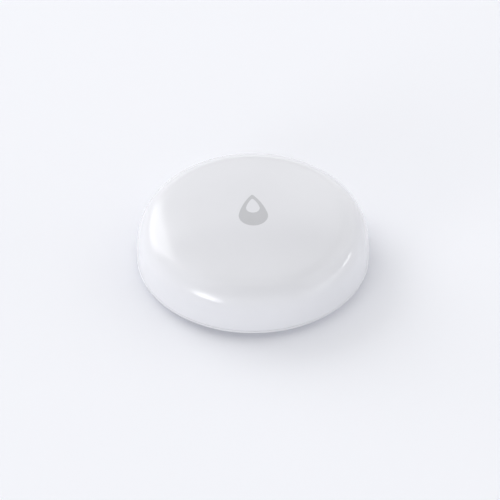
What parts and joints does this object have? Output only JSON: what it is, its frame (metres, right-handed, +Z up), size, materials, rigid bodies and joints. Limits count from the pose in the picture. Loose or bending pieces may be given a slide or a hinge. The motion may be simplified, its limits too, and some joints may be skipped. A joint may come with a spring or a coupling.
{
  "type": "water leak sensor",
  "caption": "Round domed battery water leak sensor with a drop-shaped indicator window, metal probes underneath and a screw-off battery cover.",
  "frame": {"origin": "middle of the round footprint, on the plane of the floor that the probes and nubs stand on", "axes": "+Z up through the crown, +Y towards the tip of the drop symbol, +X to the right through the right probe"},
  "size_m": [0.05, 0.05, 0.015],
  "materials": {
    "shell_gloss_white": "high gloss moulded",
    "indicator_grey": "smooth translucent inlay",
    "base_satin_white": "fine satin texture",
    "seal_silicone": "soft silicone",
    "screw_steel": "zinc plated",
    "probe_steel": "turned and polished stainless steel",
    "cell_steel": "nickel plated",
    "cell_gasket": "moulded sealing ring",
    "contact_nickel": "nickel plated spring sheet",
    "board_green": "solder mask",
    "component_black": "moulded epoxy",
    "capacitor_tan": "ceramic",
    "guide_clear": "frosted clear",
    "led_cream": "diffused lens",
    "track_copper": "bare track"
  },
  "bodies": {
    "housing": {"top_shell": "shell_gloss_white", "drop_window": "indicator_grey", "base_shell": "base_satin_white", "shell_seal": "seal_silicone", "shell_screws": "screw_steel", "coin_cell_can": "cell_steel", "coin_cell_gasket": "cell_gasket", "coin_cell_cap": "cell_steel", "battery_negative_contact": "contact_nickel", "battery_positive_contact": "contact_nickel", "probe_left": "probe_steel", "probe_right": "probe_steel", "probe_seal_left": "seal_silicone", "probe_seal_right": "seal_silicone", "probe_washer_left": "screw_steel", "probe_washer_right": "screw_steel", "probe_nut_left": "screw_steel", "probe_nut_right": "screw_steel", "circuit_board": "board_green", "switch_housing": "component_black", "switch_retainer": "contact_nickel", "switch_snap_dome": "contact_nickel", "switch_terminals": "contact_nickel", "status_led": "led_cream", "radio_chip": "component_black", "radio_shield": "contact_nickel", "crystal": "contact_nickel", "memory_chip": "component_black", "inductor": "component_black", "capacitors": "capacitor_tan", "resistors": "component_black", "antenna_trace": "track_copper"},
    "cover_seal": {"battery_cover_seal": "seal_silicone"},
    "cover": {"battery_cover": "base_satin_white"},
    "press_stack": {"light_guide": "guide_clear", "switch_plunger": "component_black"}
  },
  "joints": [
    {"name": "cover_travel", "type": "slide", "parent": "housing", "child": "cover_seal", "axis": [0, 0, -1], "range_m": [0, 0.005]},
    {"name": "cover_turn", "type": "hinge", "parent": "cover_seal", "child": "cover", "pos_m": [0, 0, 0.0012], "axis": [0, 0, -1], "range_deg": [0, 300]},
    {"name": "press_travel", "type": "slide", "parent": "housing", "child": "press_stack", "axis": [0, 0, -1], "range_m": [0, 0.00025], "stiffness_N_per_m": 4000}
  ],
  "couplings": [
    {"joint": "cover_turn", "follows": "cover_travel", "rad_per_m": 1047.2}
  ]
}
